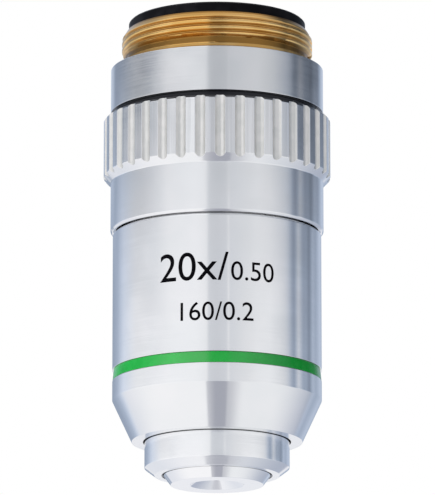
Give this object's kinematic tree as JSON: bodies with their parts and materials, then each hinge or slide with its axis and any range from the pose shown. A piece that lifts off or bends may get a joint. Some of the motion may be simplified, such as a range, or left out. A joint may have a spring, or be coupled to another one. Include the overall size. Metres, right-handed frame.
{
  "type": "microscope objective",
  "caption": "Screw-in microscope objective: threaded mount, fluted grip, engraved barrel with a colour band, and a spring-loaded nose holding the lenses.",
  "frame": {"origin": "centre of the mounting thread in the plane of the shoulder that seats on the nosepiece", "axes": "+Z along the optical axis towards the thread and the tube, so the front lens is lowest; the guide screw is on +Y"},
  "size_m": [0.024, 0.024, 0.0499],
  "materials": {
    "chrome_body": "bright chromium plate over fine-turned brass",
    "satin_nose": "satin chromium plate",
    "thread_brass": "bare turned brass",
    "inner_brass": "fine-turned brass",
    "black_ring": "matt black over brass",
    "band_enamel": "filled green enamel",
    "spring_steel": "drawn spring wire",
    "crown_glass": "polished and coated",
    "flint_glass": "polished and coated"
  },
  "bodies": {
    "barrel": {"mount_body": "thread_brass", "grip_sleeve": "chrome_body", "engraved_barrel": "chrome_body", "colour_band": "band_enamel", "rear_ring": "black_ring", "parfocal_shim": "inner_brass", "guide_screw": "spring_steel", "spring": "spring_steel"},
    "nose": {"lens_barrel": "inner_brass", "nose_sleeve": "satin_nose", "front_cell": "satin_nose", "front_lens": "crown_glass", "second_lens": "crown_glass", "second_lens_cell": "inner_brass", "doublet_a_front": "crown_glass", "doublet_a_rear": "flint_glass", "doublet_a_cell": "inner_brass", "spacer_ring": "black_ring", "doublet_b_front": "crown_glass", "doublet_b_rear": "flint_glass", "doublet_b_cell": "inner_brass", "aperture_stop": "black_ring", "spacer_tube": "black_ring", "rear_lens_front": "flint_glass", "rear_lens_rear": "crown_glass", "rear_lens_cell": "inner_brass", "lock_ring": "black_ring"}
  },
  "joints": [
    {"name": "nose_retract", "type": "slide", "parent": "barrel", "child": "nose", "axis": [0, 0, 1], "range_m": [0, 0.0025], "stiffness_N_per_m": 350, "springref_m": -0.008, "deforming": ["spring"]}
  ]
}
